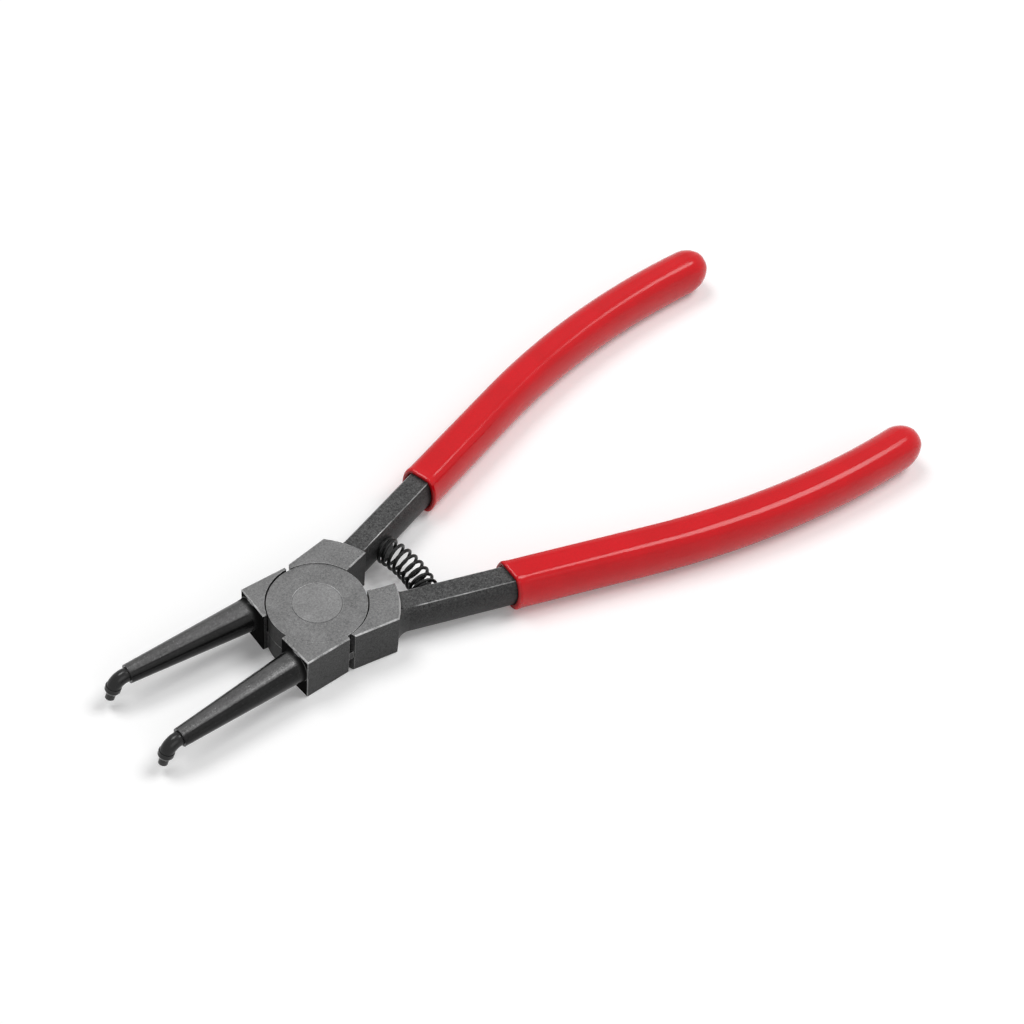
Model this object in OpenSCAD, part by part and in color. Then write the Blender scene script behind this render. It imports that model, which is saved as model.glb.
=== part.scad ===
// Internal circlip pliers with tips bent down, shown open.
// Two equal forged halves cross at a half lap joint and turn on one flush rivet.
// The X axis runs from the tips to the handles, and Z is the rivet's axis.
// Z = 0 is the lower face of the rivet.

/* [Joint] */
// Thickness of the joint blocks
joint_t = 13; // [11:0.5:15]
// Diameter of the two lap discs
disc_d = 24; // [23:0.25:25]
// Depth of the disc faces below the block faces
face_recess = 0.35; // [0.2:0.05:0.6]
// Gap between a disc and the pocket of the other half
pocket_gap = 0.35; // [0.2:0.05:0.5]
// Gap between the two lap faces
lap_gap = 0.1; // [0.06:0.02:0.2]
// Width of the chamfer along the block edges
edge_break = 0.3; // [0.2:0.05:0.5]
// Width of the slot between a jaw block and the handle block beside it
side_slot = 1.5; // [1.2:0.1:2]
// Height of the nib that stops the opening
stop_h = 2.4; // [1.6:0.2:3]
// Gap at the opening stop
stop_gap = 0.08; // [0.05:0.01:0.15]

/* [Jaw blocks] */
// Wall of a jaw block outside the disc, at the slot
side_wall = 1.2; // [1:0.1:1.6]
// Outward flare of a jaw block's side towards the front
jaw_flare = 0.3; // [0:0.1:0.6]
// Wall of a jaw block in front of the disc
front_wall = 0.3; // [0.2:0.1:1.5]
// Forward slant of the jaw front towards the inner corner
front_slant = 0.45; // [0:0.05:0.8]
// Half the opening between the jaw blocks
jaw_inner_y = 3.8; // [3.4:0.1:4.4]
// Chamfer on the outer front corner
corner_cut = 0.2; // [0.2:0.1:1]

/* [Handle blocks] */
// Outer back corner, from the rivet axis along the pliers
block_outer_x = 12.8; // [12:0.2:14]
// Outer back corner, from the middle of the pliers
block_outer_y = 15.2; // [14.8:0.1:16]
// Inner back corner, from the rivet axis along the pliers
block_inner_x = 18.6; // [17.8:0.2:19.4]
// Inner back corner, from the middle of the pliers
block_inner_y = 5.8; // [5.4:0.1:6.4]
// Where the inner side meets the disc, from the middle of the pliers
block_root_y = 4; // [3.6:0.1:4.4]
// Bulge of the rounded back edge
back_bulge = 0.7; // [0.4:0.1:1]

/* [Rivet] */
// Diameter of the rivet's shank
rivet_shank_d = 9; // [7:0.5:10]
// Diameter of the countersunk rivet heads
rivet_head_d = 12.2; // [11.4:0.2:13]
// Depth of the countersunk rivet heads
rivet_head_h = 1.4; // [1:0.1:2]
// Radial running clearance of the rivet in the lower half
run_clear = 0.05; // [0.02:0.01:0.08]
// Chamfer round the rivet faces
rivet_chamfer = 0.15; // [0.1:0.05:0.25]

/* [Noses] */
// Length of a nose cone in front of its jaw
nose_len = 33; // [28:0.1:38]
// Diameter of a nose cone at the jaw
nose_base_d = 8.2; // [7.4:0.1:8.4]
// Diameter of a nose cone at the shoulder
nose_end_d = 4.7; // [4.4:0.1:5.4]
// Distance of a nose from the middle, at the jaw
nose_base_y = 9.3; // [8.8:0.1:9.6]
// Distance of a nose from the middle, at the shoulder
nose_end_y = 10.86; // [9.8:0.02:12]
// Height of the nose axis above the middle of the joint
nose_rise = 1.8; // [0.8:0.1:2]
// Radius of the fillet between a nose and its jaw
nose_fillet = 0.8; // [0.4:0.1:1]

/* [Tips] */
// Diameter of the bent neck
neck_d = 3.5; // [3.2:0.1:4]
// Straight lead of the neck in front of the shoulder
neck_lead = 0.6; // [0.4:0.1:2]
// Radius of the bend along the neck's axis
neck_bend_r = 3.3; // [2.8:0.1:5]
// Angle that the neck turns down through
neck_bend = 70; // [45:1:90]
// Diameter of the collar at the end of the neck
collar_d = 3.8; // [3.6:0.1:4.6]
// Length of the collar after the bend
collar_len = 0.8; // [0.4:0.1:2]
// Length of the cone between the collar and the pin
neck_taper = 0.9; // [0.4:0.1:1.4]
// Diameter of the pin that enters the ring's eye
pin_d = 2.3; // [1.8:0.1:2.8]
// Length of the pin
pin_len = 1.9; // [1.2:0.1:3]
// Diameter of the spigot inside the nose
spigot_d = 2.8; // [2.2:0.1:3.2]
// Length of the spigot inside the nose
spigot_len = 9; // [6:0.5:12]

/* [Handles] */
// Angle of a handle to the middle of the pliers
handle_angle = 17.87; // [16.5:0.01:19]
// Distance of the handle line from the rivet axis, across the pliers
handle_offset = 4.24; // [4.1:0.02:4.6]
// Straight length of a handle, from the middle line
handle_straight = 84.5; // [70:0.5:100]
// Radius of the curved end of a handle
handle_bend_r = 243; // [200:1:320]
// Angle that the curved end turns through, up to the centre of its rounding
handle_bend = 18.6; // [14:0.2:22]
// Thickness of a shank
shank_t = 9.2; // [8:0.2:10]
// Width of a shank at mid height
shank_w = 7.9; // [7.2:0.1:8.1]
// Width of the flat top of a shank
shank_flat = 5.2; // [4.6:0.1:5.6]
// Radius along the ridges of a shank
shank_edge_r = 0.4; // [0.2:0.1:0.8]
// Radius of the flare between a handle block and the outside of its shank
root_r = 5; // [3:0.1:6]
// Radius of the fillet between the back of a handle block and the top or bottom of its shank
back_fillet_r = 1.5; // [0.8:0.1:1.5]

/* [Grips] */
// Thickness of the dipped coat
coat_t = 1.45; // [1:0.05:1.6]
// Radius along the ridges of a grip
coat_edge_r = 2.2; // [1.3:0.1:2.2]
// Where the upper grip starts on its handle line, from the rivet axis
rim_a_x = 44.7; // [40:0.1:60]
// Where the lower grip starts on its handle line, from the rivet axis
rim_b_x = 43.6; // [40:0.1:60]
// Turn of the upper rim from square to the pliers, towards square to its handle
rim_a_turn = 14; // [0:0.5:22]
// Turn of the lower rim from square to the pliers, towards square to its handle
rim_b_turn = 4; // [0:0.5:22]
// Radius of the rounded end of a grip
grip_dome_r = 6.6; // [6.3:0.1:7.4]
// How far the steel runs into the rounded end
tang_over = 1.5; // [0.5:0.1:2]
// Gap between the coat and the steel
coat_gap = 0.02; // [0.01:0.01:0.05]

/* [Spring] */
// Outside diameter of the coil
coil_d = 7.2; // [6.6:0.1:8]
// Diameter of the spring wire
wire_d = 0.85; // [0.6:0.05:0.9]
// Number of turns
coil_turns = 9; // [7:0.5:9]
// Distance of the coil from the rivet axis
coil_arc_r = 27.5; // [26:0.5:32]
// Diameter of the stud inside the coil
stud_d = 4.4; // [3.6:0.1:4.8]
// Height of the stud above its seat
stud_h = 2.2; // [1.6:0.1:2.4]
// Diameter of the stud's shank in the handle
stud_shank_d = 2.6; // [2:0.1:3.2]
// Length of the stud's shank in the handle
stud_shank_len = 3; // [2:0.1:3.4]
// Depth of the flat seat below the crown of the shank
stud_seat = 0.4; // [0.35:0.05:0.6]
// Gap between the end turns and the shanks
seat_gap = 0.05; // [0.03:0.01:0.1]

/* [Hidden] */
$fn = 96;
steel = [0.30, 0.30, 0.31];
rivet_steel = [0.38, 0.38, 0.39];
spring_black = [0.06, 0.06, 0.06];
grip_red = [0.78, 0.05, 0.08];
disc_r = disc_d / 2;
rivet_len = joint_t - 2 * face_recess;
mid_z = rivet_len / 2;
lap_z = mid_z - lap_gap / 2;
over = 1;                                   // how far a cutter runs past the face it cuts

// Corners of the lower half's blocks, with the jaw at +Y and the handle block at -Y
jaw_slot_x = -side_slot * 0.1;
block_slot_x = jaw_slot_x + side_slot;
jaw_front_x = -(disc_r + front_wall);
jaw_side_y = disc_r + side_wall;
jaw_points = [
    [jaw_slot_x, disc_r * 0.7],
    [jaw_slot_x, jaw_side_y],
    [jaw_front_x + corner_cut, jaw_side_y + jaw_flare],
    [jaw_front_x, jaw_side_y + jaw_flare - corner_cut],
    [jaw_front_x - front_slant, jaw_inner_y],
    [-disc_r * 0.7, jaw_inner_y - 0.5]
];
slot_foot_x = block_slot_x * 0.45;
block_side_y = jaw_side_y + 0.2;
root_slope = (block_inner_y - block_root_y) / (block_inner_x - disc_r);
block_points = [
    [slot_foot_x, -disc_r * 0.97],
    [block_slot_x, -block_side_y],
    [block_outer_x, -block_outer_y],
    [block_inner_x, -block_inner_y],
    [disc_r * 0.7, -block_root_y + root_slope * disc_r * 0.3]
];

// Circle of the rounded back edge, through the two back corners
back_chord = [block_inner_x - block_outer_x, block_outer_y - block_inner_y];
back_half = norm(back_chord) / 2;
back_r = (back_half * back_half + back_bulge * back_bulge) / (2 * back_bulge);
back_out = [back_chord[1], -back_chord[0]] / norm(back_chord);
back_centre = [block_outer_x, -block_outer_y] + back_chord / 2 - back_out * (back_r - back_bulge);

// Outer back corner of the block in the handle's own frame
root_corner = [block_outer_x, handle_offset - block_outer_y];
root_u = root_corner[0] * cos(handle_angle) - root_corner[1] * sin(handle_angle);
root_v = root_corner[0] * sin(handle_angle) + root_corner[1] * cos(handle_angle);

// Nose and tip of one side
nose_end_x = jaw_front_x - nose_len;
nose_z = mid_z + nose_rise;
nose_yaw = atan2(nose_end_y - nose_base_y, nose_len);
nose_run = norm([nose_len, nose_end_y - nose_base_y]);
nose_sunk = 0.3;
taper_end_d = pin_d + 0.3 * (collar_d - pin_d);
pin_chamfer = pin_d * 0.1;

// Cross sections of the shank and of the grip over it
shank_hw = shank_w / 2;
shank_hh = shank_t / 2;
side_sag = (shank_w - shank_flat) / 2;
side_r = (shank_hh * shank_hh + side_sag * side_sag) / (2 * side_sag);
shank_start = block_outer_x;
bend_per_mm = 180 / (PI * handle_bend_r);
tang_bend = handle_bend + tang_over * bend_per_mm;
grip_hw = shank_hw + coat_t;
grip_hh = shank_hh + coat_t;
grip_reach = 2 * grip_dome_r;

// Spring seat: the coil follows an arc about the rivet and meets both shanks squarely
seat_u = coil_arc_r - handle_offset * sin(handle_angle);
line_gap = handle_offset * cos(handle_angle);
coil_half = handle_angle + asin((line_gap - shank_hw - wire_d / 2 - seat_gap) / coil_arc_r);
coil_r = (coil_d - wire_d) / 2;
stud_base = shank_hw - stud_seat;
wire_sides = 8;
turn_steps = 16;

// Places its children along the handle of the lower half, X along the handle
module on_handle() {
    translate([0, -handle_offset, mid_z])
        rotate([0, 0, -handle_angle])
            children();
}

// Turns a piece of the lower half into the same piece of the upper half
module turned_over() {
    translate([0, 0, 2 * mid_z])
        rotate([180, 0, 0])
            children();
}

// Barrel section: flat top and bottom, bowed sides, rounded ridges
module barrel_section(half_w, half_h, bow_r, ridge_r) {
    bow_x = bow_r - half_w;
    ridge_z = half_h - ridge_r;
    ridge_x = sqrt(pow(bow_r - ridge_r, 2) - pow(ridge_z, 2)) - bow_x;
    touch_z = ridge_z * bow_r / (bow_r - ridge_r);
    intersection() {
        translate([-bow_x, 0]) circle(r = bow_r, $fn = 180);
        translate([bow_x, 0]) circle(r = bow_r, $fn = 180);
        square([4 * half_w, 2 * touch_z], center = true);
    }
    square([2 * ridge_x, 2 * half_h], center = true);
    for (side = [-1, 1], level = [-1, 1])
        translate([side * ridge_x, level * ridge_z])
            circle(r = ridge_r, $fn = 48);
}

// Carries a section along the handle: straight, then curved
module handle_sweep(bend, half_w, half_h, bow_r, ridge_r) {
    translate([shank_start, 0, 0])
        rotate([90, 0, 90])
            linear_extrude(height = handle_straight - shank_start)
                barrel_section(half_w, half_h, bow_r, ridge_r);
    translate([handle_straight, handle_bend_r, 0])
        rotate([0, 0, -90])
            rotate_extrude(angle = bend)
                translate([handle_bend_r, 0])
                    barrel_section(half_w, half_h, bow_r, ridge_r);
}

// Steel of one handle, or the space for it when a gap is given
module shank_sweep(gap = 0) {
    handle_sweep(tang_bend + gap * bend_per_mm,
        shank_hw + gap, shank_hh + gap, side_r + gap, shank_edge_r + gap);
}

// Places its children at the centre of the grip's rounded end, Y along the handle
module at_grip_end() {
    translate([handle_straight, handle_bend_r, 0])
        rotate([0, 0, handle_bend - 90])
            translate([handle_bend_r, 0, 0])
                children();
}

// Chamfer cutters along one straight edge of the blocks, on both faces
module edge_cutters(from, to) {
    run = to - from;
    wide = edge_break * sqrt(2);
    for (level = [-face_recess, joint_t - face_recess])
        translate([from[0], from[1], level])
            rotate([0, 0, atan2(run[1], run[0])])
                translate([norm(run) / 2, 0, 0])
                    rotate([45, 0, 0])
                        cube([norm(run) + over, wide, wide], center = true);
}

// Chamfer cutters along the rounded back edge, on both faces
module back_edge_cutters() {
    for (level = [-face_recess, joint_t - face_recess])
        translate([back_centre[0], back_centre[1], level])
            rotate_extrude()
                translate([back_r, 0])
                    rotate(45)
                        square(edge_break * sqrt(2), center = true);
}

module jaw_outline() {
    polygon(jaw_points);
}

module block_outline() {
    reach = back_out * 2 * back_bulge;
    intersection() {
        polygon([
            block_points[0], block_points[1], block_points[2],
            block_points[2] + reach, block_points[3] + reach,
            block_points[3], block_points[4]
        ]);
        translate(back_centre) circle(r = back_r, $fn = 240);
    }
}

// Chamfer cutters along the edges of the two blocks; the inner one stops short of the pocket
module block_edges() {
    inner_stop = block_points[3] + (block_points[4] - block_points[3]) * 0.55;
    for (i = [1 : 4])
        edge_cutters(jaw_points[i], jaw_points[i + 1]);
    edge_cutters(block_points[1], block_points[2]);
    edge_cutters(block_points[3], inner_stop);
    back_edge_cutters();
}

// Both blocks of the lower half, hollowed for the two discs, with broken edges
module blocks() {
    difference() {
        difference() {
            union() {
                translate([0, 0, -face_recess])
                    linear_extrude(height = joint_t) {
                        jaw_outline();
                        block_outline();
                    }
                stop_nib();
            }
            translate([0, 0, lap_z])
                cylinder(r = disc_r + pocket_gap, h = joint_t, $fn = 180);
            translate([0, 0, -joint_t])
                cylinder(r = disc_r, h = joint_t, $fn = 180);
        }
        block_edges();
    }
}

// Flare of the bowed outer side of a shank into its block, in the handle's own frame
module root_flare() {
    flare_h = -root_v - shank_hw;
    flare_end = root_u + sqrt(root_r * root_r - pow(root_r - flare_h, 2)) + 0.1;
    sunk = 0.4;
    intersection() {
        translate([flare_end, side_r - shank_hw, 0])
            rotate([0, -90, 0])
                rotate_extrude($fn = 180)
                    difference() {
                        translate([side_r - sunk, 0]) square([root_r + sunk, root_r + 2]);
                        translate([side_r + root_r - 0.05, 0]) circle(r = root_r, $fn = 96);
                    }
        translate([root_u - 3, root_v + 0.15, shank_edge_r / 2 - shank_hh])
            cube([root_r + 6, -root_v - 1, shank_t - shank_edge_r]);
    }
}

// Fillets of the rounded back of the block into the top and bottom of the shank
module back_fillets() {
    reach = back_fillet_r - 0.05;
    wide = shank_flat - 0.2;
    intersection() {
        for (level = [-1, 1])
            translate([back_centre[0], back_centre[1], mid_z + level * (shank_hh + reach)])
                rotate_extrude($fn = 240)
                    difference() {
                        translate([back_r - 0.5, level > 0 ? -reach - 0.3 : 0])
                            square([reach + 0.5, reach + 0.3]);
                        translate([back_r + reach, 0]) circle(r = back_fillet_r, $fn = 96);
                    }
        on_handle()
            translate([root_u - 3, -wide / 2, -joint_t])
                cube([12, wide, 2 * joint_t]);
    }
}

// Nib in the slot, on the handle block, which meets the other half's jaw when open
module stop_nib() {
    nib_x = jaw_slot_x + stop_gap;
    nib_y = -jaw_side_y + 0.1;
    translate([nib_x, nib_y, mid_z + lap_gap + 0.3 - stop_h])
        cube([block_slot_x - nib_x + 0.1, -disc_r * 0.97 - nib_y, stop_h]);
}

module rivet_profile(gap) {
    head_r = rivet_head_d / 2 + gap;
    shank_r = rivet_shank_d / 2 + gap;
    polygon([
        [0, 0], [head_r, 0], [shank_r, rivet_head_h],
        [shank_r, rivet_len - rivet_head_h], [head_r, rivet_len], [0, rivet_len]
    ]);
}

module rivet_hole(gap) {
    rotate_extrude() rivet_profile(gap);
    for (level = [-over, rivet_len])
        translate([0, 0, level])
            cylinder(d = rivet_head_d + 2 * gap, h = over);
}

// One half as forged, lower half's way up, without nose, bores or seats
module half_body() {
    difference() {
        union() {
            blocks();
            cylinder(r = disc_r, h = lap_z, $fn = 180);
            on_handle() {
                shank_sweep();
                root_flare();
            }
            back_fillets();
        }
        on_handle() stud_cut();
    }
}

// Places its children at a nose's shoulder, X forward along the nose
module at_shoulder(side) {
    translate([nose_end_x, side * nose_end_y, nose_z])
        rotate([0, 0, 180 - side * nose_yaw])
            children();
}

// Nose cone with a fillet where it leaves the jaw
module nose(side) {
    base_r = nose_base_d / 2;
    at_shoulder(side)
        rotate([0, -90, 0]) {
            cylinder(d1 = nose_end_d, d2 = nose_base_d, h = nose_run);
            translate([0, 0, nose_run]) cylinder(r = base_r, h = nose_sunk);
            translate([0, 0, nose_run - nose_fillet])
                rotate_extrude()
                    difference() {
                        square([base_r + nose_fillet * 0.6, nose_fillet + nose_sunk]);
                        translate([base_r + nose_fillet * 0.95, 0]) circle(r = nose_fillet, $fn = 48);
                    }
        }
}

module tip_bore(side) {
    at_shoulder(side)
        rotate([0, -90, 0])
            cylinder(d = spigot_d, h = spigot_len);
}

// Seat and hole for the spring stud, in the handle's own frame
module stud_cut() {
    translate([seat_u, stud_base, 0])
        rotate([-90, 0, 0])
            cylinder(d = stud_d, h = shank_w);
    translate([seat_u, stud_base, 0])
        rotate([90, 0, 0])
            cylinder(d = stud_shank_d, h = stud_shank_len);
}

module spring_stud() {
    rim = stud_h * 0.2;
    on_handle()
        translate([seat_u, stud_base, 0])
            rotate([-90, 0, 0]) {
                cylinder(d = stud_d, h = stud_h - rim);
                translate([0, 0, stud_h - rim]) cylinder(d1 = stud_d, d2 = stud_d - 2 * rim, h = rim);
                translate([0, 0, -stud_shank_len]) cylinder(d = stud_shank_d, h = stud_shank_len);
            }
}

// Bent tip: spigot, neck turned down, collar, cone and pin
module tip(side) {
    sunk = 0.3;
    pin_from = collar_len + neck_taper;
    at_shoulder(side) {
        translate([-spigot_len, 0, 0]) rotate([0, 90, 0]) cylinder(d = spigot_d, h = spigot_len);
        rotate([0, 90, 0]) cylinder(d = neck_d, h = neck_lead);
        translate([neck_lead, 0, -neck_bend_r])
            rotate([-90, -90, 0])
                rotate_extrude(angle = neck_bend)
                    translate([neck_bend_r, 0]) circle(d = neck_d, $fn = 48);
        translate([neck_lead + neck_bend_r * sin(neck_bend), 0, neck_bend_r * (cos(neck_bend) - 1)])
            rotate([0, 90 + neck_bend, 0]) {
                translate([0, 0, -sunk]) cylinder(d = collar_d, h = collar_len + sunk);
                translate([0, 0, collar_len]) cylinder(d1 = collar_d, d2 = taper_end_d, h = neck_taper);
                translate([0, 0, pin_from]) cylinder(d = pin_d, h = pin_len - pin_chamfer);
                translate([0, 0, pin_from + pin_len - pin_chamfer])
                    cylinder(d1 = pin_d, d2 = pin_d - 2 * pin_chamfer, h = pin_chamfer);
            }
    }
}

// Dipped grip: the coat outside the steel, cut off flat at its rim
module grip(rim_x, rim_turn) {
    difference() {
        on_handle()
            difference() {
                handle_sweep(handle_bend + grip_reach * bend_per_mm,
                    grip_hw, grip_hh, side_r + coat_t, coat_edge_r);
                at_grip_end()
                    difference() {
                        translate([-grip_reach, 0, -grip_reach])
                            cube(2 * grip_reach);
                        sphere(r = grip_dome_r);
                    }
            }
        on_handle() shank_sweep(coat_gap);
        translate([rim_x, -handle_offset - rim_x * tan(handle_angle), mid_z])
            rotate([0, 0, -rim_turn])
                translate([-100, -100, -50]) cube([100, 200, 100]);
    }
}

// Share of the coil's length reached at a share of its turns: closed end turns, open middle
function coil_share(t) =
    let (turn = t * coil_turns,
        closed = wire_d * 1.06 / (2 * coil_half * PI / 180 * coil_arc_r),
        open = (1 - 2 * closed) / (coil_turns - 2))
    turn < 1 ? turn * closed
    : turn > coil_turns - 1 ? 1 - (coil_turns - turn) * closed
    : closed + (turn - 1) * open;

function wire_ring(t) =
    let (turn = 360 * coil_turns * t,
        sweep = coil_half * (1 - 2 * coil_share(t)),
        outward = [cos(sweep), sin(sweep), 0],
        along = [-sin(sweep), cos(sweep), 0],
        spoke = outward * cos(turn) + [0, 0, 1] * sin(turn),
        centre = outward * coil_arc_r + spoke * coil_r + [0, 0, mid_z])
    [for (k = [0 : wire_sides - 1])
        centre + wire_d / 2 * (spoke * cos(360 * k / wire_sides) + along * sin(360 * k / wire_sides))];

// Joins rings of points into one closed tube
module tube(rings) {
    sides = len(rings[0]);
    last = len(rings) - 1;
    walls = [for (i = [0 : last - 1], k = [0 : sides - 1])
        let (a = i * sides + k, b = i * sides + (k + 1) % sides)
        each [[a, b, b + sides], [a, b + sides, a + sides]]];
    caps = [[for (k = [sides - 1 : -1 : 0]) k], [for (k = [0 : sides - 1]) last * sides + k]];
    polyhedron(points = [for (ring = rings) each ring], faces = concat(walls, caps));
}

module half_a() {
    color(steel)
        difference() {
            union() {
                turned_over() half_body();
                nose(-1);
            }
            tip_bore(-1);
            rivet_hole(0);
        }
}

module half_b() {
    color(steel)
        difference() {
            union() {
                half_body();
                nose(1);
            }
            tip_bore(1);
            rivet_hole(run_clear);
        }
}

module pivot_rivet() {
    color(rivet_steel)
        difference() {
            rotate_extrude() rivet_profile(0);
            for (level = [0, rivet_len])
                translate([0, 0, level])
                    rotate_extrude()
                        translate([rivet_head_d / 2, 0])
                            rotate(45)
                                square(rivet_chamfer * sqrt(2), center = true);
        }
}

module tip_a() {
    color(steel) tip(-1);
}

module tip_b() {
    color(steel) tip(1);
}

module spring_stud_a() {
    color(steel) turned_over() spring_stud();
}

module spring_stud_b() {
    color(steel) spring_stud();
}

module return_spring() {
    steps = round(coil_turns * turn_steps);
    color(spring_black) tube([for (i = [0 : steps]) wire_ring(i / steps)]);
}

module grip_a() {
    color(grip_red) turned_over() grip(rim_a_x, rim_a_turn);
}

module grip_b() {
    color(grip_red) grip(rim_b_x, rim_b_turn);
}

half_a();
half_b();
pivot_rivet();
tip_a();
tip_b();
spring_stud_a();
spring_stud_b();
return_spring();
grip_a();
grip_b();
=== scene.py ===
import math
import bmesh
import bpy
import numpy as np
from mathutils import Matrix, Vector


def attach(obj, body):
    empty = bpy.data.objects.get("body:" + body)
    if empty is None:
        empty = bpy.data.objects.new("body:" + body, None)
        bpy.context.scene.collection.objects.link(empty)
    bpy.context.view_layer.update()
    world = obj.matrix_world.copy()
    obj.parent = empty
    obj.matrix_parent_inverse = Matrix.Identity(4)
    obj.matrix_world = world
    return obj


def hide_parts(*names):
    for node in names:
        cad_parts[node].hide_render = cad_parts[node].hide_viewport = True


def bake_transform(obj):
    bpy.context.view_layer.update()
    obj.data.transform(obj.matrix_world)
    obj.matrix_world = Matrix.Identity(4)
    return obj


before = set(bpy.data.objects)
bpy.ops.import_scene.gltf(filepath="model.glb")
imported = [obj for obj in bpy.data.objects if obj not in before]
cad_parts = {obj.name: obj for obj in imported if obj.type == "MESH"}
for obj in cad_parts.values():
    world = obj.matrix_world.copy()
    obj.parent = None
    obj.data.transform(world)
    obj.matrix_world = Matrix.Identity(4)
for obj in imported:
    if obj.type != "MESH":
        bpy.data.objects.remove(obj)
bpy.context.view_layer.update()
print("frame loaded:", len(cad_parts), "nodes")

mm = 0.001
midZ = 6.15  # middle of the joint, mm above the lower rivet face
halves = (("a", "upper_half"), ("b", "lower_half"))  # each half, and the body it rides on

# the line that both handles follow, in mm and degrees, as seen in the lower half's own handle frame
handle = {"angle": 17.87, "offset": 4.24, "straight": 84.5, "bendRadius": 243.0, "bendAngle": 18.6}

weld = {"surface": 2e-7, "sliver": 1e-8, "solid": 1e-7}  # how close points are joined, metres


# mesh helpers

def handleToFrame(points, half):
    # handle frame (along, across, up) to the part's frame: turn by the handle angle, shift, turn over for half a
    a = math.radians(handle["angle"])
    u, v, z = points[..., 0], points[..., 1], points[..., 2]
    x = u * math.cos(a) + v * math.sin(a)
    y = -handle["offset"] - u * math.sin(a) + v * math.cos(a)
    if half == "a":
        return np.stack([x, -y, midZ - z], -1)
    return np.stack([x, y, midZ + z], -1)


def gridFaces(rows, cols):
    # quads of a grid whose columns close on themselves, as one index array
    i = np.arange(rows - 1)[:, None] * cols
    j = np.arange(cols)[None, :]
    k = (j + 1) % cols
    return np.stack([i + j, i + k, i + cols + k, i + cols + j], -1).reshape(-1, 4)


def signedVolume(points, quads):
    # sum of the tetrahedra that each quad's two triangles make with the origin
    a, b, c, d = (points[quads[:, n]] for n in range(4))
    return (np.einsum("ij,ij->i", a, np.cross(b, c)) + np.einsum("ij,ij->i", a, np.cross(c, d))).sum() / 6


def readVectors(items, key):
    # one row of x, y, z for each item
    values = np.empty(len(items) * 3)
    items.foreach_get(key, values)
    return values.reshape(-1, 3)


def mergePoints(mesh, reach, sliver=None):
    # joins points that lie closer than the reach, then drops faces that are thinner than a sliver
    bm = bmesh.new()
    bm.from_mesh(mesh)
    bmesh.ops.remove_doubles(bm, verts=bm.verts, dist=reach)
    if sliver:
        bmesh.ops.dissolve_degenerate(bm, edges=bm.edges, dist=sliver)
    bm.to_mesh(mesh)
    bm.free()


def dress(mesh, material):
    # smooth shading on every face, and one material
    mesh.polygons.foreach_set("use_smooth", np.ones(len(mesh.polygons), dtype=bool))
    mesh.materials.clear()
    mesh.materials.append(material)


def addObject(name, data):
    # a new object in the scene for a mesh, lamp or camera
    made = bpy.data.objects.new(name, data)
    bpy.context.scene.collection.objects.link(made)
    return made


def meshPiece(name, grid, material, attributes=None):
    # puts a closed grid of points (rows, cols, 3) in mm into a smooth mesh in metres, faces outwards
    points = grid.reshape(-1, 3) * mm
    quads = gridFaces(*grid.shape[:2])
    if signedVolume(points, quads) < 0:
        quads = quads[:, ::-1]
    mesh = bpy.data.meshes.new(name)
    mesh.from_pydata(points.tolist(), [], quads.tolist())
    for label, values in (attributes or {}).items():
        layer = mesh.attributes.new(label, "FLOAT", "POINT")
        layer.data.foreach_set("value", np.ascontiguousarray(values, dtype=np.float32).ravel())
    mergePoints(mesh, weld["surface"], weld["sliver"])
    dress(mesh, material)
    return addObject(name, mesh)


# shader helpers

class Value:
    # a socket that takes part in plain arithmetic: each operator adds one Math node
    def __init__(self, finish, socket):
        self.finish, self.socket = finish, socket

    def math(self, operation, *others, clamp=False):
        settings = {"operation": operation, "use_clamp": clamp}
        return self.finish.node("ShaderNodeMath", settings, dict(enumerate((self,) + others)))

    def __add__(self, o): return self.math("ADD", o)
    __radd__ = __add__
    def __mul__(self, o): return self.math("MULTIPLY", o)
    __rmul__ = __mul__
    def __sub__(self, o): return self.math("SUBTRACT", o)
    def __rsub__(self, o): return self.math("MULTIPLY", -1.0).math("ADD", o)
    def __abs__(self): return self.math("ABSOLUTE")
    def clamp(self): return self.math("ADD", 0.0, clamp=True)
    def largest(self, o): return self.math("MAXIMUM", o)
    def swing(self): return self - 0.5  # noise about its middle

    def rise(self, low, high):
        # 0 below low, 1 above high, smooth between; falls instead when low is above high
        if low > high:
            return 1 - self.rise(high, low)
        ends = {0: self, 1: low, 2: high, 3: 0.0, 4: 1.0}
        return self.finish.node("ShaderNodeMapRange", {"interpolation_type": "SMOOTHSTEP"}, ends)

    def band(self, rising, falling):
        # 1 between two smooth edges: up over the first pair of values, down over the second
        return self.rise(*rising) * self.rise(*falling)


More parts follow.
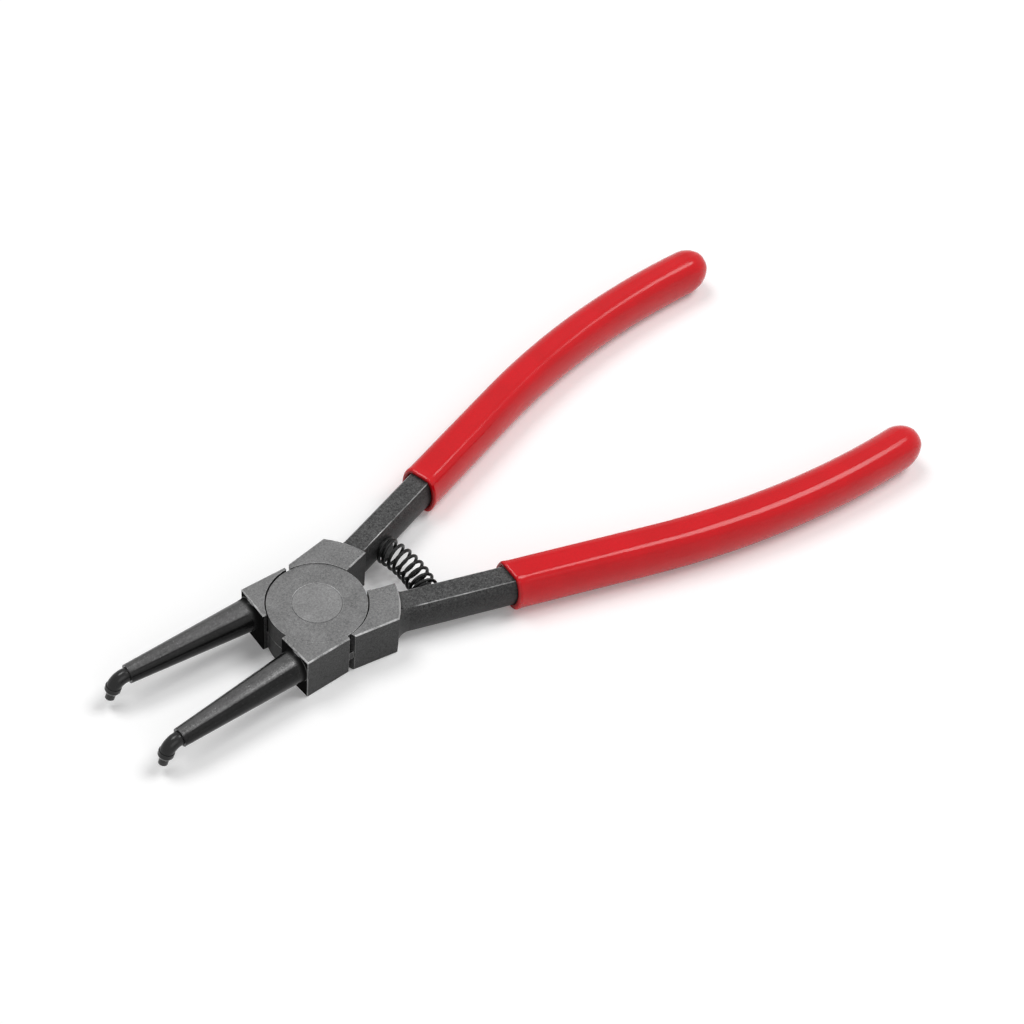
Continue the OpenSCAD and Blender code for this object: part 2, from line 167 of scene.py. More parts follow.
class Finish:
    # the nodes of one material or world: node() makes any node from its type, settings and socket values or links
    def __init__(self, owner):
        self.owner = owner
        owner.use_nodes = True
        self.tree = owner.node_tree
        self.tree.nodes.clear()

    def node(self, kind, settings, sockets, output=0):
        made = self.tree.nodes.new(kind)
        for key, value in settings.items():
            setattr(made, key, value)
        for key, value in sockets.items():
            socket = made.inputs[key]
            if isinstance(value, Value):
                self.tree.links.new(value.socket, socket)
            else:
                socket.default_value = value
        return Value(self, made.outputs[output]) if output is not None else made

    def place(self):
        # the point in the piece's own frame, metres
        return self.node("ShaderNodeTexCoord", {}, {}, "Object")

    def trueNormal(self):
        # the face's own normal, without smoothing or bump
        return self.node("ShaderNodeNewGeometry", {}, {}, "True Normal")

    def split(self, vector):
        # a vector's x, y and z as three values
        made = self.node("ShaderNodeSeparateXYZ", {}, {0: vector}, None)
        return [Value(self, s) for s in made.outputs]

    def millimetres(self):
        # x, y and z of the point in mm
        return [v * (1 / mm) for v in self.split(self.place())]

    def noise(self, size, detail, rough, stretch=None):
        # fractal noise with grains of about the given size in mm
        at = self.place()
        if stretch:
            at = self.node("ShaderNodeMapping", {}, {0: at, 3: stretch})
        sockets = {"Vector": at, "Scale": 1.0 / (size * mm), "Detail": detail, "Roughness": rough}
        return self.node("ShaderNodeTexNoise", {}, sockets)

    def mix(self, share, one, two):
        # the first colour, with the second one's share mixed in
        return self.node("ShaderNodeMix", {"data_type": "RGBA"}, {0: share, 6: one, 7: two}, 2)

    def times(self, colour, factor):
        # colour made lighter or darker by a factor that varies from place to place
        level = self.node("ShaderNodeCombineColor", {}, {0: factor, 1: factor, 2: factor})
        settings = {"data_type": "RGBA", "blend_type": "MULTIPLY"}
        return self.node("ShaderNodeMix", settings, {0: 1.0, 6: colour, 7: level}, 2)

    def bump(self, height, depth, strength, normal=None):
        # normal that leans with the slope of a height field, depth in mm
        sockets = {"Height": height, "Distance": depth * mm, "Strength": strength}
        if normal:
            sockets["Normal"] = normal
        return self.node("ShaderNodeBump", {}, sockets)

    def rounded(self, radius):
        # normal as if every edge had the given radius in mm
        return self.node("ShaderNodeBevel", {"samples": 6}, {"Radius": radius * mm})

    def edges(self, radius):
        # 0 on flat places, towards 1 along edges: how far the rounded normal leans from the true one
        pair = {0: self.rounded(radius), 1: self.trueNormal()}
        return 1 - self.node("ShaderNodeVectorMath", {"operation": "DOT_PRODUCT"}, pair, 1)

    def seen(self):
        # 1 where the camera, a mirror or glass looks, 0 for all other light
        path = self.node("ShaderNodeLightPath", {}, {}, None)
        kinds = ("Is Camera Ray", "Is Glossy Ray", "Is Transmission Ray")
        camera, mirror, glass = (Value(self, path.outputs[k]) for k in kinds)
        return camera.largest(mirror).largest(glass)

    def output(self, surface, kind="ShaderNodeOutputMaterial"):
        self.node(kind, {}, {"Surface": surface}, None)
        return self.owner

    def shader(self, settings, dull=None, share=0.0):
        # the finish's own gloss; where a dull colour is given, a surface without gloss takes its share
        bsdf = self.node("ShaderNodeBsdfPrincipled", {}, settings)
        if dull:
            sockets = {"Base Color": dull, "Roughness": 1.0, "Specular IOR Level": 0.0}
            matte = self.node("ShaderNodeBsdfPrincipled", {}, sockets)
            bsdf = self.node("ShaderNodeMixShader", {}, {0: share, 1: bsdf, 2: matte})
        return self.output(bsdf)


def newFinish(name):
    return Finish(bpy.data.materials.new(name))


def grey(level):
    return (level, level, level, 1.0)


def weighted(weights, **values):
    # the base, plus each value times its own weight
    return sum((v * weights[k] for k, v in values.items()), weights["base"])


# forged steel

forged = {
    # grey levels of the surfaces, and the gloss; the flank and shank-side levels are painted shade, the nose's
    # lighter level a painted highlight, and the black front level with its matte share painted shade
    "skin": 0.052, "flank": 0.037, "ground": 0.16, "nose": 0.018, "sheen": 0.1, "front": 0.006, "worn": 0.5,
    "darkest": 0.2, "shankSideShade": 0.35, "wearShare": 0.95, "dullShare": 0.85, "specular": 0.28,
    # noises: size in mm, detail, roughness, stretch
    "grain": (0.55, 4.0, 0.65), "patch": (4.5, 3.0, 0.55), "speck": (0.28, 2.0, 0.5),
    "scratch": (0.5, 2.0, 0.5, (1.0, 0.06, 1.0)),
    # where a change begins and ends: heights from the joint's middle and places along x, mm
    "faceHeight": (5.8, 6.0), "ridgeHeight": (4.1, 4.3), "shankX": (13.0, 15.0), "ridgeX": (19.0, 20.5),
    "frontX": (-12.0, -12.1), "noseX": (-12.45, -12.55), "coneX": (-12.85, -14.45),
    "rubX": ((-12.3, -11.9), (12.8, 12.2)), "cornerX": ((-12.45, -12.35), (-11.95, -12.05)),
    # where a change begins and ends: parts of the normal, up being 1 on a level face
    "groundUp": (0.9, 0.97), "bevelUp": ((0.5, 0.62), (0.86, 0.78)), "ridgeUp": ((0.6, 0.7), (0.985, 0.96)),
    "sheenUp": (0.74, 0.99), "sideShadeUp": (0.2, 0.7), "uprightUp": (0.2, 0.1),
    "facing": (0.7, 0.9), "diagonal": (0.5, 0.65),
    # worn edges: width in mm, how soon they show, and the share of each kind
    "rubWidth": 0.2, "rubRise": (0.01, 0.1), "rubWear": 0.7, "ridgeWear": 0.6, "cornerWear": 0.5,
    "wear": {"base": -1.0, "patch": 2.2, "grain": 1.3},
    # weights of the noises and masks
    "mottle": {"base": 2.2, "shank": 0.4, "ground": -1.2, "nose": -1.5},
    "tone": {"base": 1.0, "grain": 1.5, "speck": 1.0, "patch": 0.6},
    "rough": {"base": 0.5, "grain": 0.25, "nose": -0.27, "front": 0.3, "wear": -0.1, "scratch": 0.12},
    "metal": {"base": 0.1, "wear": 0.55, "ground": 0.3, "nose": 0.65},
    "relief": {"base": 0.0, "grain": 0.7, "patch": 0.5, "speck": 0.3}, "noseSmooth": 0.5, "scratchRelief": 0.3,
    "bump": (0.03, 0.8), "edgeRadius": 0.12,
}


def forgedFinish():
    # dark phosphate skin, lighter on the ground joint faces, satin on the noses with a painted highlight where they
    # face up or down, painted shade on the flanks, and painted shade that makes the jaw fronts and nose roots black;
    # bare metal shows where the normal or the height says chamfer, ridge or corner, broken up by noise
    p = forged
    f = newFinish("forgedSteel")
    x, y, z = f.millimetres()
    across, along, up = f.split(f.trueNormal())
    height, level = abs(z - midZ), abs(up)
    grain, patch, speck, scratch = (f.noise(*p[k]) for k in ("grain", "patch", "speck", "scratch"))

    # masks of the regions
    face = height.rise(*p["faceHeight"])
    ground = face * level.rise(*p["groundUp"])
    bevel = face * level.band(*p["bevelUp"])
    facing = x.rise(*p["frontX"]) * (across * -1).rise(*p["facing"])
    ahead = x.rise(*p["noseX"]).largest(facing) * (1 - ground) * (1 - bevel)
    nose = ahead * x.rise(*p["coneX"])
    # painted shade: what lies ahead of the jaw off the cone, the jaw fronts and the nose roots, is painted black
    front = ahead - nose
    shank = x.rise(*p["shankX"])
    ridge = height.rise(*p["ridgeHeight"]) * (1 - face) * level.band(*p["ridgeUp"]) * x.rise(*p["ridgeX"])
    corner = abs(across).rise(*p["diagonal"]) * abs(along).rise(*p["diagonal"]) * level.rise(*p["uprightUp"])
    corner = corner * x.band(*p["cornerX"])
    rub = f.edges(p["rubWidth"]).rise(*p["rubRise"]) * (1 - nose) * (1 - front) * x.band(*p["rubX"])
    worn = bevel.largest(rub * p["rubWear"]).largest(ridge * p["ridgeWear"]).largest(corner * p["cornerWear"])
    wear = (worn * weighted(p["wear"], patch=patch, grain=grain)).clamp()

    # colour: painted shade makes the skin darker on the flanks and darker still on the shank's sides, and a painted
    # highlight makes the noses lighter where they face up or down
    busy = weighted(p["mottle"], shank=shank, ground=ground, nose=nose)
    tone = weighted(p["tone"], grain=grain.swing() * busy, speck=speck.swing() * busy, patch=patch.swing())
    # painted highlight: the noses are painted lighter where their faces turn up or down
    sheened = f.mix(level.rise(*p["sheenUp"]), grey(p["nose"]), grey(p["sheen"]))
    # painted shade: upright faces take the darker flank level, and on the shank they are darkened further
    sideShade = 1 - level.rise(*p["sideShadeUp"])
    shadedSkin = f.mix(sideShade, grey(p["skin"]), grey(p["flank"]))
    shadedSkin = f.times(shadedSkin, 1 - shank * sideShade * p["shankSideShade"])
    skin = f.mix(front, f.mix(nose, shadedSkin, sheened), grey(p["front"]))
    base = f.times(f.mix(ground, skin, grey(p["ground"])), tone.largest(p["darkest"]))
    colour = f.mix(wear * p["wearShare"], base, grey(p["worn"]))

    front = front * (1 - corner)
    rough = weighted(p["rough"], grain=grain.swing(), nose=nose, front=front, wear=wear,
                     scratch=ground * scratch.swing())
    metal = weighted(p["metal"], wear=wear, ground=ground, nose=nose)
    relief = weighted(p["relief"], grain=grain, patch=patch, speck=speck) * (1 - nose * p["noseSmooth"])
    relief = relief + ground * scratch * p["scratchRelief"]
    normal = f.bump(relief, *p["bump"], f.rounded(p["edgeRadius"]))
    # the painted-shade black of the jaw fronts also takes a share of a matte surface, so that it shows no reflection
    return f.shader({"Base Color": colour, "Roughness": rough.clamp(), "Metallic": metal.clamp(),
                     "Normal": normal, "Specular IOR Level": p["specular"]},
                    grey(p["front"]), front * p["dullShare"])


# rivet

rivet = {
    "face": 0.2, "rim": 0.035, "darkest": 0.2, "rimRadius": (5.8, 5.98), "rimShare": 0.8,
    "turning": 0.55, "stray": 2.0,  # mm from ring to ring, and how far they wander
    "tone": {"base": 1.0, "grain": 1.1, "speck": 0.7, "patch": 0.5, "rings": 0.025},
    "rough": {"base": 0.46, "grain": 0.25}, "metal": 0.45, "specular": 0.25,
    "relief": {"base": 0.0, "grain": 1.0, "speck": 0.4, "rings": 0.1}, "bump": (0.025, 0.7),
}


def rivetFinish():
    # the same ground face as the discs, with faint turning rings, a sine of the radius, and a dark line at the
    # head's edge
    p = rivet
    f = newFinish("rivetSteel")
    x, y = f.millimetres()[:2]
    radius = (x * x + y * y).math("SQRT")
    grain, patch, speck = (f.noise(*forged[k]) for k in ("grain", "patch", "speck"))
    rings = (radius * (2 * math.pi / p["turning"]) + patch * p["stray"]).math("SINE")
    tone = weighted(p["tone"], grain=grain.swing(), speck=speck.swing(), patch=patch.swing(), rings=rings)
    face = f.times(grey(p["face"]), tone.largest(p["darkest"]))
    colour = f.mix(radius.rise(*p["rimRadius"]) * p["rimShare"], face, grey(p["rim"]))
    relief = weighted(p["relief"], grain=grain, speck=speck, rings=rings)
    return f.shader({"Base Color": colour, "Roughness": weighted(p["rough"], grain=grain.swing()).clamp(),
                     "Metallic": p["metal"], "Normal": f.bump(relief, *p["bump"]),
                     "Specular IOR Level": p["specular"]})


# bent tips

tipSteel = {
    "black": 0.01, "worn": 0.11, "grain": (0.3, 3.0, 0.6), "patch": (1.4, 3.0, 0.55),
    "pinZ": (5.2, 3.0), "edgeWidth": 0.15, "edgeRise": (0.01, 0.15),
    "rub": {"base": 0.0, "pin": 0.5, "edge": 0.8}, "spots": {"base": -0.1, "patch": 1.2},
    "tone": {"base": 1.0, "grain": 0.8}, "rough": {"base": 0.22, "grain": 0.12, "patch": 0.1},
    "metal": 0.3, "bump": (0.009, 0.7), "specular": 0.4,
}


def tipFinish():
    # black oxide, semi-gloss, rubbed towards the pin and along the edges
    p = tipSteel
    f = newFinish("tipSteel")
    z = f.millimetres()[2]
    grain, patch = (f.noise(*p[k]) for k in ("grain", "patch"))
    rubbed = weighted(p["rub"], pin=z.rise(*p["pinZ"]), edge=f.edges(p["edgeWidth"]).rise(*p["edgeRise"]))
    rubbed = (rubbed * weighted(p["spots"], patch=patch)).clamp()
    black = f.times(grey(p["black"]), weighted(p["tone"], grain=grain.swing()))
    rough = weighted(p["rough"], grain=grain.swing(), patch=patch.swing())
    return f.shader({"Base Color": f.mix(rubbed, black, grey(p["worn"])), "Roughness": rough.clamp(),
                     "Metallic": p["metal"], "Normal": f.bump(grain + patch, *p["bump"]),
                     "Specular IOR Level": p["specular"]})


steel = forgedFinish()
finishes = {"spring_stud_a": steel, "spring_stud_b": steel, "pivot_rivet": rivetFinish(), "tip_a": tipFinish()}
finishes["tip_b"] = finishes["tip_a"]
for nodeName, material in finishes.items():
    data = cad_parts[nodeName].data
    data.materials.clear()
    data.materials.append(material)
print("finishes set on", len(finishes), "steel nodes")


# forged halves

# line of the jaw's front corner and outer side, and the place from which the points ahead are trimmed to it, mm
flank = {"x": [-13.2, -12.3, -12.1, -0.15], "y": [13.84, 13.3, 13.5, 13.2], "from": -11.6}


def forgedHalf(half):
    # a merged copy of the solid in which the fillet at the nose's root ends flush with the jaw's outer side:
    # ahead of the joint no point lies further out than the line of that side, and trimmed corners turn flat
    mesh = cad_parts["half_" + half].data.copy()
    mesh.name = "forged_half_" + half
    normals = readVectors(mesh.corner_normals, "vector")
    kept = mesh.attributes.new("kept", "FLOAT_VECTOR", "CORNER")  # carries the solid's normals through the merge
    kept.data.foreach_set("vector", normals.ravel())
    mergePoints(mesh, weld["solid"])
    normals = readVectors(mesh.attributes["kept"].data, "vector")
    mesh.attributes.remove(mesh.attributes["kept"])
    place = readVectors(mesh.vertices, "co")
    limit = np.interp(place[:, 0] / mm, flank["x"], flank["y"]) * mm
    outside = (place[:, 0] < flank["from"] * mm) & (np.abs(place[:, 1]) > limit)
    place[:, 1] = np.where(outside, np.sign(place[:, 1]) * limit, place[:, 1])
    mesh.vertices.foreach_set("co", place.ravel())
    mesh.update()
    corner = np.empty(len(mesh.loops), dtype=np.int32)
    mesh.loops.foreach_get("vertex_index", corner)
    flat = np.repeat(readVectors(mesh.polygons, "normal"), 3, 0)  # every face is a triangle
    dress(mesh, steel)
    mesh.normals_split_custom_set(np.where(outside[corner][:, None], flat, normals).tolist())
    print("half", half, len(mesh.polygons), "faces,", int(outside.sum()), "points trimmed")
    return addObject(mesh.name, mesh)


for half, body in halves:
    piece = forgedHalf(half)
    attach(piece, body)
    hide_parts("half_" + half)


# grips

gripLook = {
    # lip colour: painted shade at the lip, where the coat meets the steel
    "red": (0.71, 0.001, 0.008, 1.0), "deep": (0.6, 0.0005, 0.005, 1.0), "lip": (0.2, 0.0005, 0.002, 1.0),
    "cloud": (9.0, 3.0, 0.5), "peel": (1.6, 2.0, 0.45), "speck": (0.35, 2.0, 0.5),
    "redShare": {"base": -0.35, "cloud": 1.4}, "tone": {"base": 1.0, "speck": 0.25},
    "lipShadeRise": (0.4, -0.4), "lipShadeShare": 0.7, "rough": {"base": 0.14, "cloud": 0.08, "speck": 0.04},
    "relief": {"base": 0.0, "peel": 1.0, "speck": 0.25}, "bump": (0.009, 0.5), "specular": 0.27,
}


def gripFinish():
    # glossy dipped coat: slow tone changes, a faint orange peel, and painted shade that darkens it at the lip next
    # to the steel
    p = gripLook
    f = newFinish("gripCoat")
    fromRim = f.node("ShaderNodeAttribute", {"attribute_name": "fromRim"}, {}, "Fac")
    cloud, peel, speck = (f.noise(*p[k]) for k in ("cloud", "peel", "speck"))
    colour = f.mix(weighted(p["redShare"], cloud=cloud).clamp(), p["deep"], p["red"])
    colour = f.times(colour, weighted(p["tone"], speck=speck.swing()))
    # painted shade: the tucked rows and the lip's start against the steel are painted dark red
    colour = f.mix(fromRim.rise(*p["lipShadeRise"]) * p["lipShadeShare"], colour, p["lip"])
    rough = weighted(p["rough"], cloud=cloud.swing(), speck=speck.swing())
    normal = f.bump(weighted(p["relief"], peel=peel, speck=speck), *p["bump"])
    return f.shader({"Base Color": colour, "Roughness": rough.clamp(), "Metallic": 0.0,
                     "Normal": normal, "Specular IOR Level": p["specular"]})


coat = {
    # section of the steel inside, mm
    "steelW": 3.95, "steelH": 4.6, "steelBow": 8.512, "steelRidge": 0.4,
    # coat: depth at the rim and at the end, ridge radii per mm of depth, and how fast both change along the grip
    "thin": 1.28, "thick": 1.44, "ridge": 2.0, "endRidge": 3.4, "foot": 1.5, "bulb": 4.5,
    "depthPower": 0.7, "ridgePower": 1.3,
    # rim: place and turn, rolled lip, bead behind it, and the rows tucked in against the steel
    "rimX": {"a": 44.7, "b": 43.6}, "rimTurn": {"a": 14.0, "b": 4.0},
    "lip": 0.5, "bead": 0.12, "beadLong": 1.2, "lipBead": 0.6, "tuck": [2.0, 1.0], "film": 0.02,
    # rounded end: how far it stands out, and how blunt it is
    "reach": 6.5, "boxy": 0.68,
    # counts of points and rows
    "around": 30, "lipRows": 14, "straightRows": 60, "bendRows": 90, "capRows": 26, "rowPower": 1.6,
}
barrel = {"sidePoints": 80, "ridgePoints": 60, "sideTurn": 0.3, "ridgeTurn": 0.85, "byTurn": 0.5}


def barrelQuarter(halfW, halfH, bowR, ridgeR, count):
    # one quarter of a barrel section: bowed side, rounded ridge and flat top, spaced half by length and half by turn
    bowX = bowR - halfW
    ridgeZ = halfH - ridgeR
    ridgeX = math.sqrt((bowR - ridgeR) ** 2 - ridgeZ ** 2) - bowX
    lean = math.atan2(ridgeZ, ridgeX + bowX)
    t = np.linspace(0, lean, barrel["sidePoints"])
    side = np.stack([bowR * np.cos(t) - bowX, bowR * np.sin(t)], 1)
    t = np.linspace(lean, math.pi / 2, barrel["ridgePoints"])
    ridge = np.stack([ridgeX + ridgeR * np.cos(t), ridgeZ + ridgeR * np.sin(t)], 1)
    quarter = np.concatenate([side, ridge[1:], [[0.0, halfH]]])
    step = np.concatenate([[0], np.cumsum(np.linalg.norm(np.diff(quarter, axis=0), axis=1))])
    turn = np.concatenate([np.linspace(0, barrel["sideTurn"], barrel["sidePoints"]),
                           np.linspace(barrel["sideTurn"], barrel["ridgeTurn"], barrel["ridgePoints"])[1:], [1.0]])
    weight = (1 - barrel["byTurn"]) * step / step[-1] + barrel["byTurn"] * turn
    at = np.linspace(0, 1, count + 1)
    return np.stack([np.interp(at, weight, quarter[:, n]) for n in (0, 1)], 1)


def barrelLoop(halfW, halfH, bowR, ridges, count):
    # the quarter mirrored round to a closed loop, with one ridge radius above and one below
    upper, lower = (barrelQuarter(halfW, halfH, bowR, r, count) for r in ridges)
    top, foot = (np.concatenate([q, q[-2:0:-1] * [-1, 1]]) for q in (upper, lower))
    return np.concatenate([top, -upper[:1] * [1, 0], (foot[1:] * [1, -1])[::-1]])


def coatLoop(upper, lower):
    # the section one mm out from the steel, with the given ridge radii
    return barrelLoop(coat["steelW"] + 1, coat["steelH"] + 1, coat["steelBow"] + 1, (upper, lower), coat["around"])


def gripSurface(half):
    # the section grows out from the steel by the coat's depth, gets rounder ridges towards the end and is carried
    # along the handle line; its first rows roll round the lip, its last rows draw in to a point as a rounded end
    c = coat
    inner = barrelLoop(c["steelW"], c["steelH"], c["steelBow"], (c["steelRidge"], c["steelRidge"]), c["around"])
    pairs = [(c["foot"], c[k]) if half == "a" else (c[k], c["foot"]) for k in ("ridge", "endRidge")]
    outer, blunt = (coatLoop(*pair) for pair in pairs)
    a = math.radians(handle["angle"])
    bend = math.radians(handle["bendAngle"])
    rim = c["rimX"][half] / math.cos(a)
    lean = math.tan(a - math.radians(c["rimTurn"][half]))
    length = handle["straight"] - rim
    total = length + handle["bendRadius"] * bend

    def section(depth, along):
        # the steel's loop moved out by the depth, with ridges that change along the grip
        share = (np.clip(along / total, 0, 1) ** c["ridgePower"])[:, None, None]
        return inner + (outer + (blunt - outer) * share - inner) * depth[:, None, None]

    def grown(along):
        # the coat's depth, from thin at the rim to thick at the end
        return c["thin"] + (c["thick"] - c["thin"]) * np.clip(along / total, 0, 1) ** c["depthPower"]

    # rolled lip: depth rises on half a turn while the place along bulges forward
    turn = np.linspace(0, math.pi, c["lipRows"])
    lipTop = c["thin"] + c["bead"] * c["lipBead"]
    lipDepth = c["film"] + (lipTop - c["film"]) * (0.5 - 0.5 * np.cos(turn))
    lipAlong = c["lip"] * (1 - np.sin(turn))
    # straight run, closer rows near the rim
    spread = np.linspace(0, 1, c["straightRows"] + 1)[1:] ** c["rowPower"]
    runAlong = c["lip"] + spread * (length - c["lip"])
    runDepth = grown(runAlong) + c["bead"] * np.exp(-((runAlong - c["lip"]) / c["beadLong"]) ** 2)
    along = np.concatenate([c["tuck"], lipAlong, runAlong])
    flat = section(np.concatenate([np.full(len(c["tuck"]), c["film"]), lipDepth, runDepth]), along)
    v, z = flat[..., 0], flat[..., 1]
    start = rim - v * lean  # the dip line, flat and turned from square to the handle
    share = np.clip(along / length, 0, 1)[:, None]
    straight = np.stack([start + (handle["straight"] - start) * share, v, z], -1)
    # curved run
    tau = np.linspace(0, bend, c["bendRows"] + 1)[1:]
    reached = length + handle["bendRadius"] * tau
    flat = section(grown(reached), reached)
    r = handle["bendRadius"] - flat[..., 0]
    curved = np.stack([handle["straight"] + r * np.sin(tau)[:, None],
                       handle["bendRadius"] - r * np.cos(tau)[:, None], flat[..., 1]], -1)
    # rounded end: the last section turns rounder and shrinks by a power of the cosine while it moves on by the sine
    phi = np.linspace(0, math.pi / 2, c["capRows"] + 1)[1:, None]
    shrink = np.clip(np.cos(phi), 0, 1) ** c["boxy"]
    last = section(np.array([c["thick"]]), np.array([total]))[0]
    bulb = inner + (coatLoop(c["bulb"], c["bulb"]) - inner) * c["thick"]
    ends = (last + (bulb - last) * np.sin(phi)[..., None]) * shrink[..., None]
    forward = c["reach"] * np.sin(phi)
    r = handle["bendRadius"] - ends[..., 0]
    cap = np.stack([handle["straight"] + r * math.sin(bend) + forward * math.cos(bend),
                    handle["bendRadius"] - r * math.cos(bend) + forward * math.sin(bend), ends[..., 1]], -1)
    cap[-1] = cap[-1].mean(0)
    rows = np.concatenate([straight, curved, cap])
    # distance from the rim for the finish: from -1 on the tucked rows to the lip's length where the run begins
    lipEnd = len(c["tuck"]) + c["lipRows"]
    fromRim = np.concatenate([np.linspace(-1, c["lip"], lipEnd), runAlong, reached, np.full(c["capRows"], total)])
    return handleToFrame(rows, half), np.repeat(fromRim[:, None], rows.shape[1], 1)


gripMaterial = gripFinish()
for half, body in halves:
    rows, fromRim = gripSurface(half)
    piece = meshPiece("dipped_grip_" + half, rows, gripMaterial, {"fromRim": fromRim})
    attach(piece, body)
    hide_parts("grip_" + half)
    print("grip", half, len(piece.data.polygons), "faces")


# return spring

springLook = {
    "dark": 0.004, "light": 0.02, "grain": (0.2, 3.0, 0.5), "patch": (1.2, 2.0, 0.5), "patchFrom": 0.4,
    "rough": {"base": 0.36, "grain": 0.2}, "metal": 0.2, "bump": (0.01, 0.6), "specular": 0.25,
}


def springFinish():
    # blackened spring wire with a slight draw grain
    p = springLook
    f = newFinish("springWire")
    grain, patch = (f.noise(*p[k]) for k in ("grain", "patch"))
    colour = f.mix((patch - p["patchFrom"]).clamp(), grey(p["dark"]), grey(p["light"]))
    return f.shader({"Base Color": colour, "Roughness": weighted(p["rough"], grain=grain.swing()).clamp(),
                     "Metallic": p["metal"], "Normal": f.bump(grain, *p["bump"]),
                     "Specular IOR Level": p["specular"]})


spring = {
    "outer": 7.2, "wire": 0.85, "turns": 9, "arcRadius": 27.5, "halfAngle": 17.058,
    "closedPitch": 1.06, "endShare": 0.78, "endReach": (0.08, 0.09),  # end turns in wires; bevel of the cut ends
    "sides": 14, "perTurn": 44,
}


def springSurface():
    # wire ring carried along a coil whose axis is an arc about the rivet; the first and last turn lie close
    s = spring
    count = int(s["turns"] * s["perTurn"])
    turn = np.linspace(0, 1, count + 1) * s["turns"]
    half = math.radians(s["halfAngle"])
    closed = s["wire"] * s["closedPitch"] / (2 * half * s["arcRadius"])
    share = np.interp(turn, [0, 1, s["turns"] - 1, s["turns"]], [0, closed, 1 - closed, 1])
    sweep = half * (1 - 2 * share)
    outward = np.stack([np.cos(sweep), np.sin(sweep), np.zeros_like(sweep)], 1)
    upward = np.array([0.0, 0.0, 1.0])
    angle = 2 * math.pi * turn
    spoke = outward * np.cos(angle)[:, None] + upward * np.sin(angle)[:, None]
    centre = outward * s["arcRadius"] + spoke * (s["outer"] - s["wire"]) / 2 + [0, 0, midZ]
    lead = np.gradient(centre, axis=0)
    lead /= np.linalg.norm(lead, axis=1)[:, None]
    side = np.cross(lead, spoke)
    k = 2 * math.pi * np.arange(s["sides"]) / s["sides"]

    def ring(c, r, n, b):
        # circles of radius r about c, in the plane of n and b
        circle = n[:, None] * np.cos(k)[None, :, None] + b[:, None] * np.sin(k)[None, :, None]
        return c[:, None] + r[:, None, None] * circle

    coils = ring(centre, np.full(count + 1, s["wire"] / 2), spoke, side)
    # the cut ends close to a point over a short bevel
    ends = []
    for i, sign in ((0, -1), (-1, 1)):
        r = np.array([s["endShare"], 0.0]) * s["wire"] / 2
        c = centre[i] + lead[i] * sign * np.array(s["endReach"])[:, None]
        ends.append(ring(c, r, np.repeat(spoke[i][None], 2, 0), np.repeat(side[i][None], 2, 0)))
    return np.concatenate([ends[0][::-1], coils, ends[1]])


coil = meshPiece("coil_spring", springSurface(), springFinish())
seat = math.radians(spring["halfAngle"])
seatX, seatY = (spring["arcRadius"] * mm * way(seat) for way in (math.cos, math.sin))
ends = [(seatX, side * seatY, midZ * mm) for side in (1, -1)]
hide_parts("return_spring")
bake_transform(coil)
print("spring", len(coil.data.polygons), "faces")


# floor, light and camera

studio = {
    "floorZ": -0.36, "floorHalf": 4.0,  # height in mm, just under the blocks; half the side in metres
    "floorAlbedo": 0.8, "seenAlbedo": 0.95, "glow": 0.11, "fade": (0.22, 0.6), "ambient": 0.27,
    "aim": (0.06, 0.0, 0.0),
    "lamps": {  # place and diameter in metres, power in watts
        "softbox": ((0.98, -0.34, 1.74), 1.0, 17.0),
        "side": ((-0.2, 0.7, 1.65), 0.8, 11.0),
        "fill": ((-0.4, -1.3, 1.0), 1.2, 4.0),
    },
}


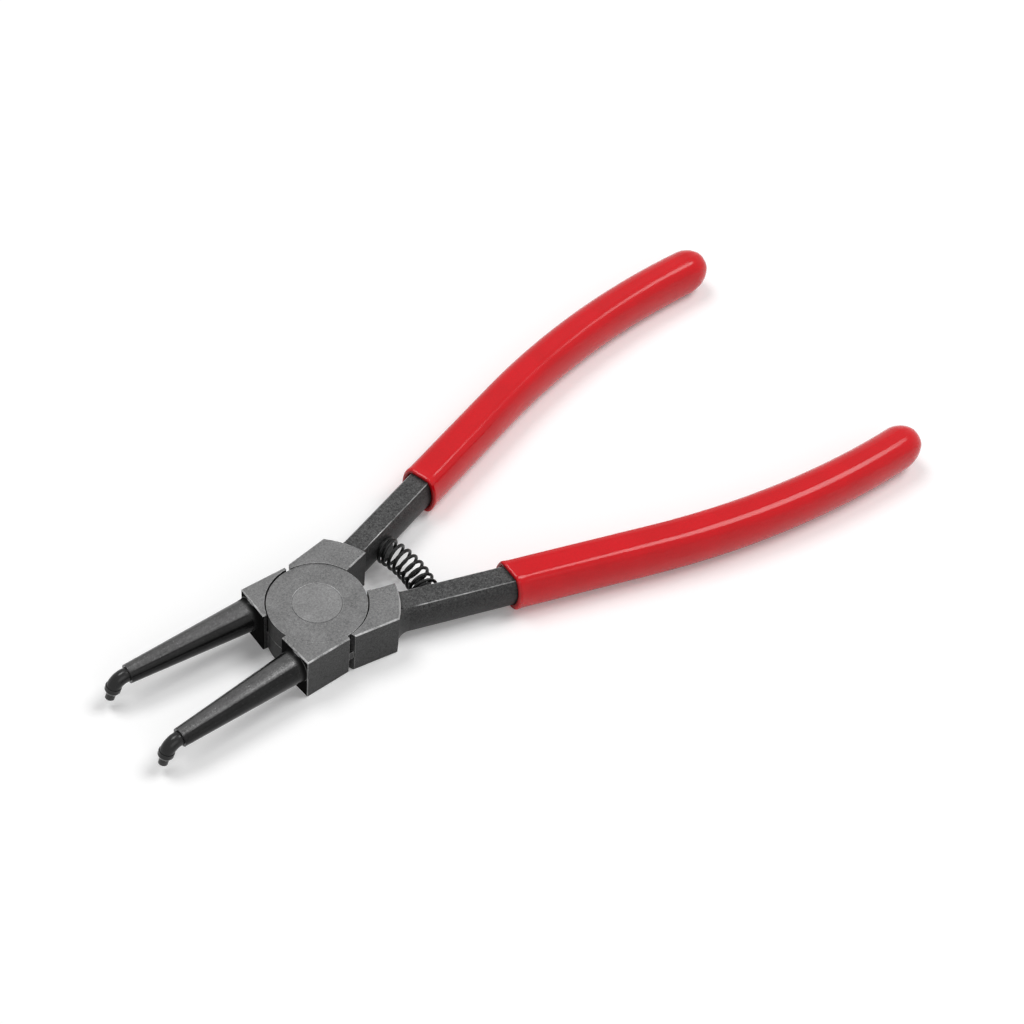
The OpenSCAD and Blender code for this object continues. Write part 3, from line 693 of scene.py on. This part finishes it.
def studioFloor():
    # pale floor: the camera sees part of its white as given, so that it is white and still takes the shadow;
    # away from the object, by the distance from its middle, all of the white is given
    f = newFinish("floor")
    own, part = (f.node("ShaderNodeBsdfDiffuse", {}, {"Color": grey(studio[k])})
                 for k in ("floorAlbedo", "seenAlbedo"))
    glow, paper = (f.node("ShaderNodeEmission", {}, {"Color": grey(1.0), "Strength": s})
                   for s in (studio["glow"], 1.0))
    x, y = f.split(f.place())[:2]
    x = x - studio["aim"][0]
    away = (x * x + y * y).math("SQRT").rise(*studio["fade"])
    near = f.node("ShaderNodeAddShader", {}, {0: part, 1: glow})
    white = f.node("ShaderNodeMixShader", {}, {0: away, 1: near, 2: paper})
    material = f.output(f.node("ShaderNodeMixShader", {}, {0: f.seen(), 1: own, 2: white}))
    side = studio["floorHalf"]
    corners = ((-side, -side), (side, -side), (side, side), (-side, side))
    mesh = bpy.data.meshes.new("floor")
    mesh.from_pydata([(x, y, studio["floorZ"] * mm) for x, y in corners], [], [(0, 1, 2, 3)])
    mesh.materials.append(material)
    floor = addObject("floor", mesh)


def softLamp(name, place, size, power):
    # round area lamp that faces the object's middle
    data = bpy.data.lights.new(name, "AREA")
    data.shape, data.size, data.energy = "DISK", size, power
    lamp = addObject(name, data)
    lamp.location = place
    lamp.rotation_euler = (Vector(place) - Vector(studio["aim"])).to_track_quat("Z", "Y").to_euler()


def studioWorld():
    # white where the camera, a mirror or glass looks, a weaker even light everywhere else
    f = Finish(bpy.data.worlds.new("studio"))
    strength = f.seen() * (1 - studio["ambient"]) + studio["ambient"]
    back = f.node("ShaderNodeBackground", {}, {"Color": grey(1.0), "Strength": strength})
    bpy.context.scene.world = f.output(back, "ShaderNodeOutputWorld")


view = {
    "azimuth": -45.03, "elevation": 48.18, "roll": 7.556,  # degrees
    "distance": 501.87, "target": (59.50, -0.746, midZ + 0.5),  # mm
    "focal": 2000.0, "image": 1024.0, "sensor": 36.0, "clip": (0.01, 20.0),  # pixels, pixels, mm, metres
}


def photoCamera():
    # pinhole placed on its angles round the target, then rolled about the line of sight
    az, el, roll = (math.radians(view[k]) for k in ("azimuth", "elevation", "roll"))
    back = Vector((math.sin(az) * math.cos(el), -math.cos(az) * math.cos(el), math.sin(el)))
    right = (-back).cross(Vector((0, 0, 1))).normalized()
    up = right.cross(-back)
    right, up = right * math.cos(roll) + up * math.sin(roll), up * math.cos(roll) - right * math.sin(roll)
    data = bpy.data.cameras.new("photo")
    data.sensor_width = view["sensor"]
    data.lens = view["sensor"] * view["focal"] / view["image"]
    data.clip_start, data.clip_end = view["clip"]
    camera = addObject("photo", data)
    camera.matrix_world = Matrix((right, up, back)).transposed().to_4x4()
    camera.location = (Vector(view["target"]) + back * view["distance"]) * mm
    bpy.context.scene.camera = camera


studioFloor()
for name, lampSettings in studio["lamps"].items():
    softLamp(name, *lampSettings)
studioWorld()
photoCamera()
bpy.context.scene.view_settings.view_transform = "Standard"
print("studio ready")
